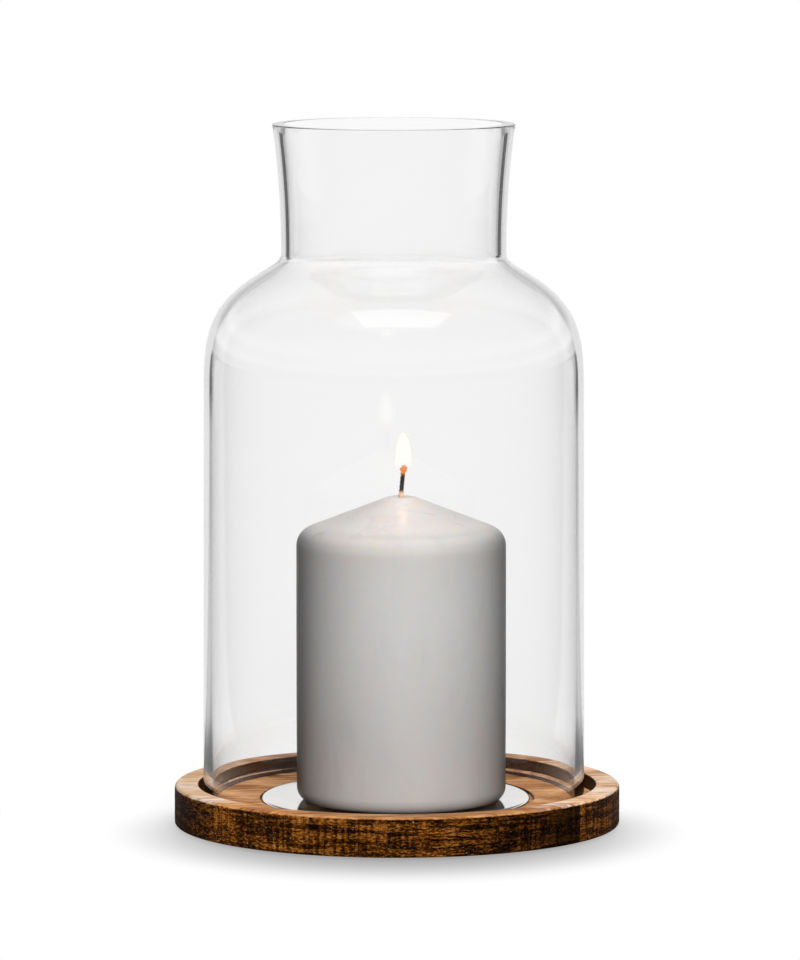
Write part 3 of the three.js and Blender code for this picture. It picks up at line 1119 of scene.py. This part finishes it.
# Light thrown back within the glass wall, as (cosine, brightness) stops: from the floor close by and far,
# and from the sky low down. INSIDE_HIGH has (height, brightness) stops of the sky above that.
INSIDE_NEAR = ((0.8, 0.3), (0.84, 0.43), (0.88, 0.65), (0.92, 0.74))
INSIDE_FAR = ((0.69, 0.15), (0.74, 0.55), (0.785, 0.55), (0.805, 0.0), (0.88, 0.0), (0.892, 0.68))
INSIDE_LOW = ((0.85, 0.05), (0.885, 0.7))
INSIDE_HIGH = ((0.1, 0.72), (0.17, 0.48), (0.2, 0.4), (0.24, 0.42), (0.28, 0.72))
# Distances between which the floor's light within the glass sets in, and goes over to INSIDE_FAR.
INSIDE_START = (0.05, 0.3)
INSIDE_CHANGE = (1.3, 1.65)
# Close to the base, INSIDE_NEAR reaches INSIDE_TURN further round, which ends over these distances.
INSIDE_TURN = 0.08
INSIDE_TURN_END = (0.3, 1.2)
SKY_SIDE = (0.3, 0.3, 0.3, 1.0)
SKY_HIGH = (0.2, 0.2, 0.2, 1.0)
# Cosines between which the sky goes from its side to the backdrop. Heights between which it goes over to
# SKY_HIGH, and within the glass to INSIDE_HIGH.
SKY_TURN = (-0.3, 0.5)
SKY_RISE = (0.25, 0.45)
INSIDE_RISE = (0.06, 0.11)
# Painted soft shadow on the floor: an oval with these half lengths, moved to the front by SHADOW_SHIFT.
# It goes from the first of SHADOW_TONES to the second between the shares of these lengths in SHADOW_RANGE.
SHADOW_SHIFT = 0.014
SHADOW_SIDE = 0.087
SHADOW_FRONT = 0.0936
SHADOW_BACK = 0.078
SHADOW_TONES = (0.45, 1.0)
SHADOW_RANGE = (0.6, 1.18)


def show_rays(nodes):
    """1 for what the camera sees, also in and through glass and metal, and 0 for what lights the object."""
    rays = nodes.add("LightPath").outputs
    return nodes.most(rays["Is Camera Ray"], rays["Is Glossy Ray"], rays["Is Transmission Ray"])


def thrown_back(nodes):
    """1 for light that a surface threw back on its way, and 1 for such light within the glass wall."""
    rays = nodes.add("LightPath").outputs
    back = nodes.math("GREATER_THAN", rays["Glossy Depth"], 0.5)
    in_and_out = nodes.math("LESS_THAN", rays["Transmission Depth"], 2.5)
    within = nodes.math("MULTIPLY", nodes.math("MULTIPLY", back, in_and_out), rays["Is Transmission Ray"])
    return back, within


def towards_back(nodes, x, y):
    """Cosine of the level angle between a way and +Y."""
    return nodes.math("DIVIDE", y, nodes.length(nodes.join(x, y)))


def seen_floor(nodes, parts, away):
    """White where the floor is seen straight on, and the studio's floor in what is thrown back."""
    back, within = thrown_back(nodes)
    level = towards_back(nodes, parts[0], parts[1])
    sideways = nodes.between(level, *ROOM_TURN)
    front = nodes.blend(nodes.between(away, *ROOM_DEPTH), ROOM_NEAR, ROOM_FAR)
    room = nodes.blend(sideways, front, ROOM_SIDE)
    around = nodes.blend(nodes.between(level, *BACKDROP_EDGE), room, WHITE)
    turned = nodes.math("ADD", level, nodes.between(away, *INSIDE_TURN_END, INSIDE_TURN, 0.0))
    near = grey_steps(nodes, turned, INSIDE_NEAR)
    close = nodes.math("MULTIPLY", near, nodes.between(away, *INSIDE_START))
    inside = nodes.blend(nodes.between(away, *INSIDE_CHANGE), close, grey_steps(nodes, level, INSIDE_FAR))
    dim = nodes.blend(sideways, around, nodes.blend(within, around, inside))
    return nodes.blend(back, WHITE, dim)


def painted_oval_shadow(nodes, parts):
    """Brightness of the floor in the painted soft oval shadow."""
    middle = nodes.weigh((parts[1], 1.0), (1.0, SHADOW_SHIFT))
    behind = nodes.math("DIVIDE", middle, SHADOW_BACK)
    before = nodes.math("DIVIDE", middle, -SHADOW_FRONT)
    oval = nodes.join(nodes.math("DIVIDE", parts[0], SHADOW_SIDE), nodes.most(behind, before))
    return nodes.between(nodes.length(oval), *SHADOW_RANGE, *SHADOW_TONES)


def floor_material():
    """White with the object's shadow and a painted oval shadow near it, and plain white further out."""
    material, nodes = new_material("white_floor")
    position = nodes.position()
    parts = nodes.parts(position)
    away = nodes.length(position)
    # The soft oval shadow multiplied in here is painted, on top of the lamps' real shadow.
    seen = nodes.blend(1.0, seen_floor(nodes, parts, away), painted_oval_shadow(nodes, parts), "MULTIPLY")
    far = nodes.between(away, NEAR_FLOOR, FAR_FLOOR)
    shaded = nodes.blend(1.0, nodes.blend(far, FLOOR_COLOUR, BLACK), seen, "MULTIPLY")
    shade = nodes.add("BsdfDiffuse", {"Color": shaded}).outputs[0]
    glow = nodes.between(far, 0, 1, NEAR_GLOW, 1.0, soft=False)
    lit = nodes.add("Emission", {"Color": seen, "Strength": glow}).outputs[0]
    shown = nodes.add("AddShader", {0: shade, 1: lit}).outputs[0]
    bounce = nodes.add("BsdfDiffuse", {"Color": FLOOR_BOUNCE}).outputs[0]
    nodes.surface(nodes.add("MixShader", {0: show_rays(nodes), 1: bounce, 2: shown}).outputs[0])
    material.cycles.emission_sampling = "NONE"
    return material


def add_floor():
    solid = bmesh.new()
    bmesh.ops.create_grid(solid, x_segments=1, y_segments=1, size=FLOOR_REACH)
    mesh = bpy.data.meshes.new("floor")
    solid.to_mesh(mesh)
    solid.free()
    mesh.materials.append(floor_material())
    new_object("floor", mesh)


def set_world():
    """White wherever it is seen straight on. Its light on the object is faint, because the lamps do that."""
    world = bpy.data.worlds.new("studio")
    bpy.context.scene.world = world
    nodes = Nodes(world)
    parts = nodes.parts(nodes.add("TexCoord").outputs["Generated"])
    back, within = thrown_back(nodes)
    backdrop = nodes.between(towards_back(nodes, parts[0], parts[1]), *SKY_TURN)
    low_sky = nodes.blend(backdrop, SKY_SIDE, WHITE)
    sky = nodes.blend(nodes.between(parts[2], *SKY_RISE), low_sky, SKY_HIGH)
    low = grey_steps(nodes, parts[1], INSIDE_LOW)
    inside = nodes.between(parts[2], *INSIDE_RISE, low, grey_steps(nodes, parts[2], INSIDE_HIGH))
    seen = nodes.blend(back, WHITE, nodes.blend(within, sky, inside))
    background = nodes.blend(show_rays(nodes), WORLD_LIGHT, seen)
    shader = nodes.add("Background", {"Color": background, "Strength": 1.0}).outputs[0]
    nodes.add("OutputWorld", {"Surface": shader})


def add_lamp(name, place, aim, size, radiance, seen):
    """An oblong soft lamp. radiance is its face's brightness, and seen lets outer surfaces mirror it."""
    lamp = bpy.data.lights.new(name, "AREA")
    lamp.shape = "RECTANGLE"
    lamp.size, lamp.size_y = size
    lamp.energy = radiance * math.pi * size[0] * size[1]
    holder = new_object(name, lamp)
    holder.location = place
    holder.rotation_euler = (Vector(aim) - Vector(place)).to_track_quat("-Z", "Y").to_euler()
    holder.visible_glossy = seen
    holder.visible_transmission = False


def add_camera():
    lens = bpy.data.cameras.new("camera")
    lens.sensor_width = SENSOR_WIDTH
    lens.lens = CAMERA_LENS
    lens.clip_end = 4 * FLOOR_REACH
    camera = new_object("camera", lens)
    camera.location = CAMERA_PLACE
    camera.rotation_euler = (math.radians(CAMERA_TILT), 0, 0)
    bpy.context.scene.camera = camera


add_boards()
add_felt_pads()
add_plate()
add_cover()
add_wax()
add_wick()
add_clip()
add_flame()
add_floor()
set_world()
for lamp_values in LAMPS:
    add_lamp(*lamp_values)
add_camera()
bpy.context.scene.view_settings.view_transform = "Standard"
